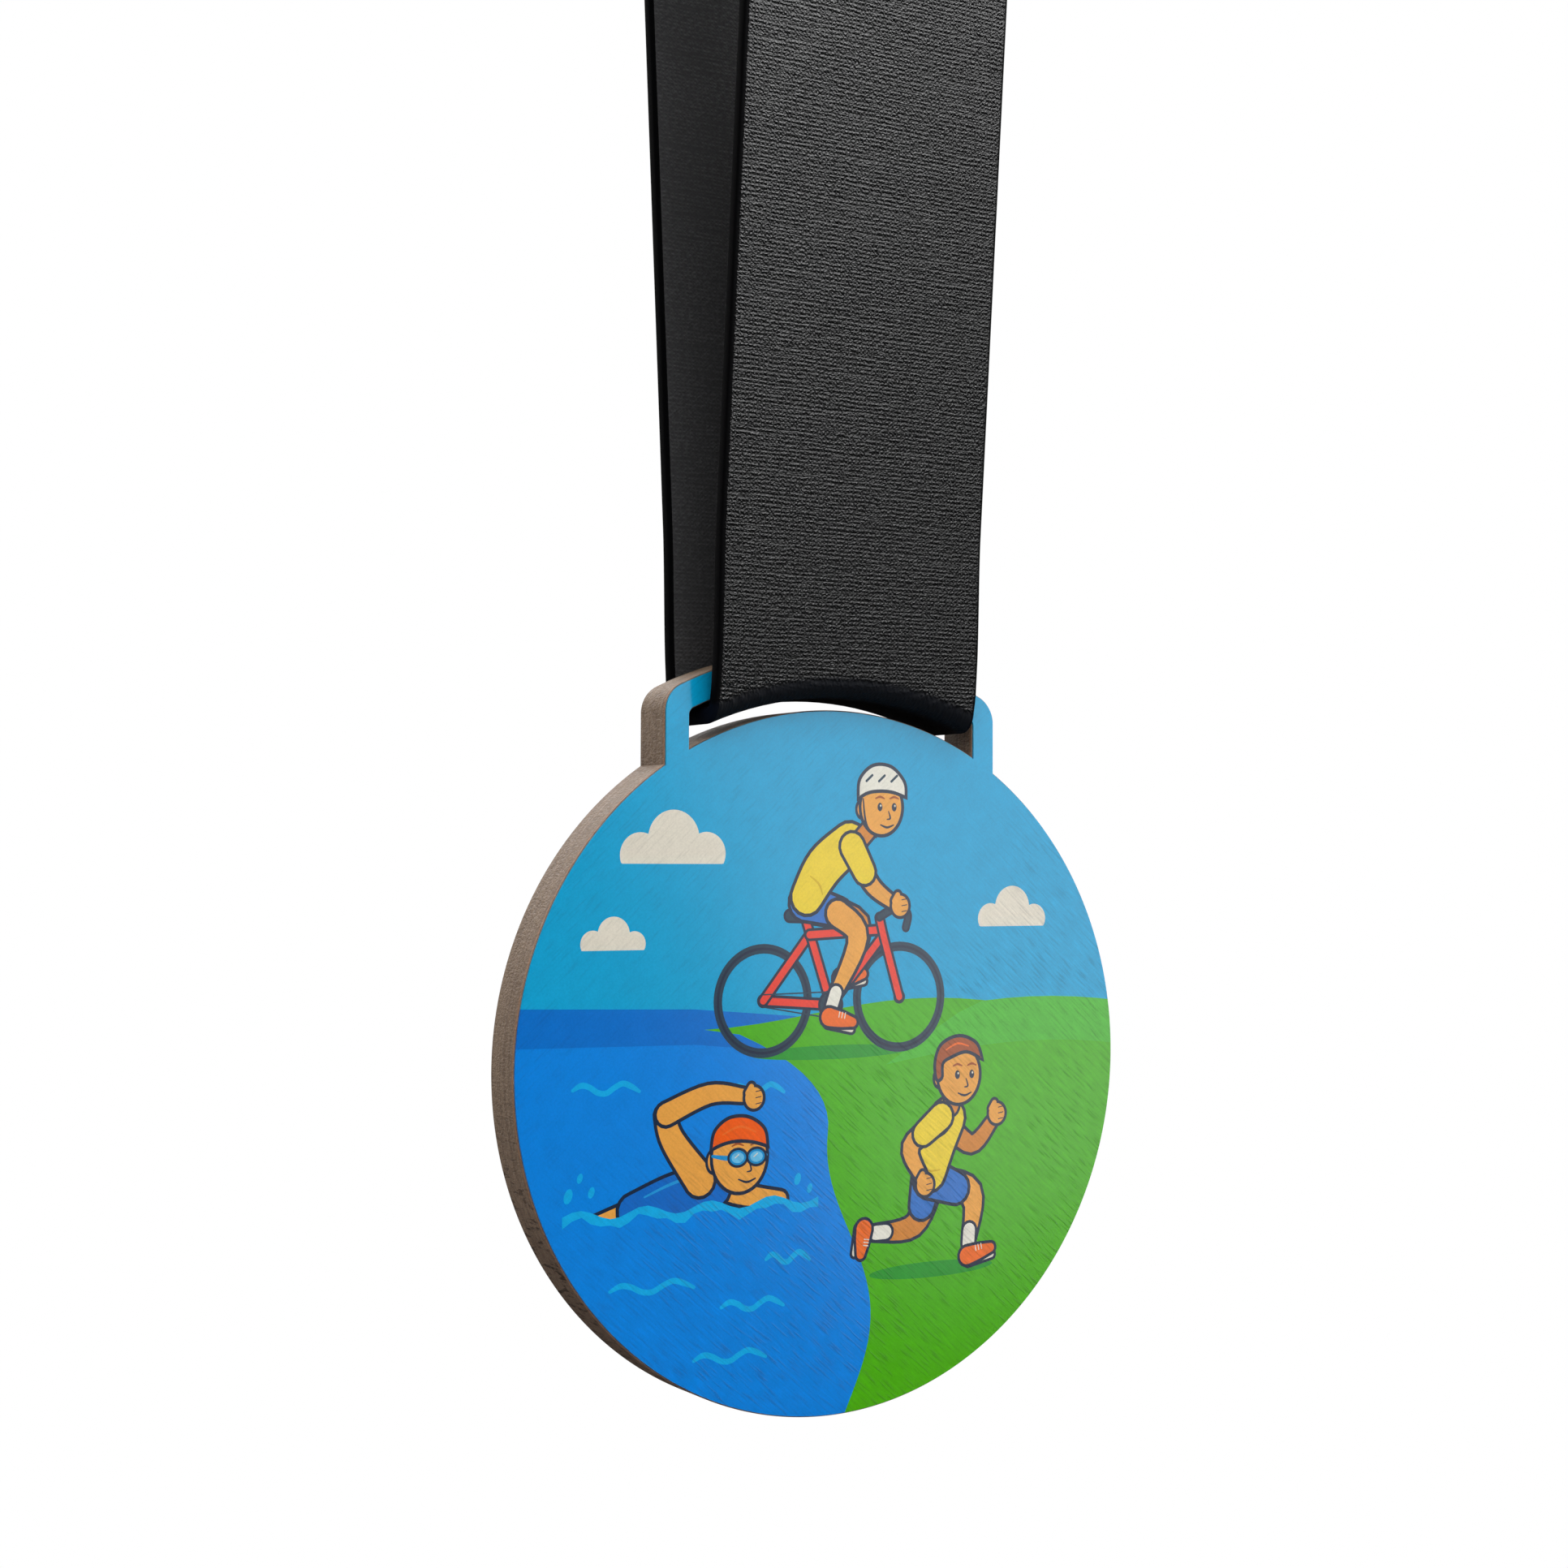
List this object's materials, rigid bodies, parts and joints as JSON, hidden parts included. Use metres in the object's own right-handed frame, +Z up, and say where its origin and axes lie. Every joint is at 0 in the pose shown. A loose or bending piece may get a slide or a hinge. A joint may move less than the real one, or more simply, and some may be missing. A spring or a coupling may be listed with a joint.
{
  "type": "finisher medal",
  "caption": "Round printed hardboard finisher medal with an arched ribbon slot, hung on a wide black woven ribbon that ends in a sewn hanging loop.",
  "frame": {"origin": "the inside top of the ribbon loop, where a peg or rail holds it, midway through the board's thickness", "axes": "+Z up along the hanging ribbon, -Y out of the printed face, +X to the right of a viewer facing the print"},
  "size_m": [0.07, 0.0298, 0.1988],
  "materials": {
    "hardboard": "matt brown pressed hardboard, cut edge darker in patches, screen pattern on the back",
    "gloss_print": "glossy full-colour print of a swimmer, a cyclist and a runner, with a fine line grain",
    "woven_ribbon": "black polyester ribbon with fine crosswise ribs and darker woven edges",
    "sewing_thread": "black polyester sewing thread"
  },
  "bodies": {
    "ribbon_top": {"front_strap_upper": "woven_ribbon", "back_strap_upper": "woven_ribbon", "hanging_loop": "woven_ribbon", "ribbon_lap": "woven_ribbon", "lap_stitching": "sewing_thread"},
    "ribbon_bottom": {"front_strap_lower": "woven_ribbon", "back_strap_lower": "woven_ribbon", "front_bend": "woven_ribbon", "back_bend": "woven_ribbon"},
    "medal": {"core_board": "hardboard", "front_print": "gloss_print", "ribbon_fold": "woven_ribbon"}
  },
  "joints": [
    {"name": "ribbon_twist", "type": "hinge", "parent": "ribbon_top", "child": "ribbon_bottom", "pos_m": [0, 0, -0.07819], "axis": [0, 0, 1], "range_deg": [-90, 90]},
    {"name": "medal_swing", "type": "hinge", "parent": "ribbon_bottom", "child": "medal", "pos_m": [0, 0, -0.11569], "axis": [1, 0, 0], "range_deg": [-40, 40], "deforming": ["front_bend", "back_bend"]}
  ]
}
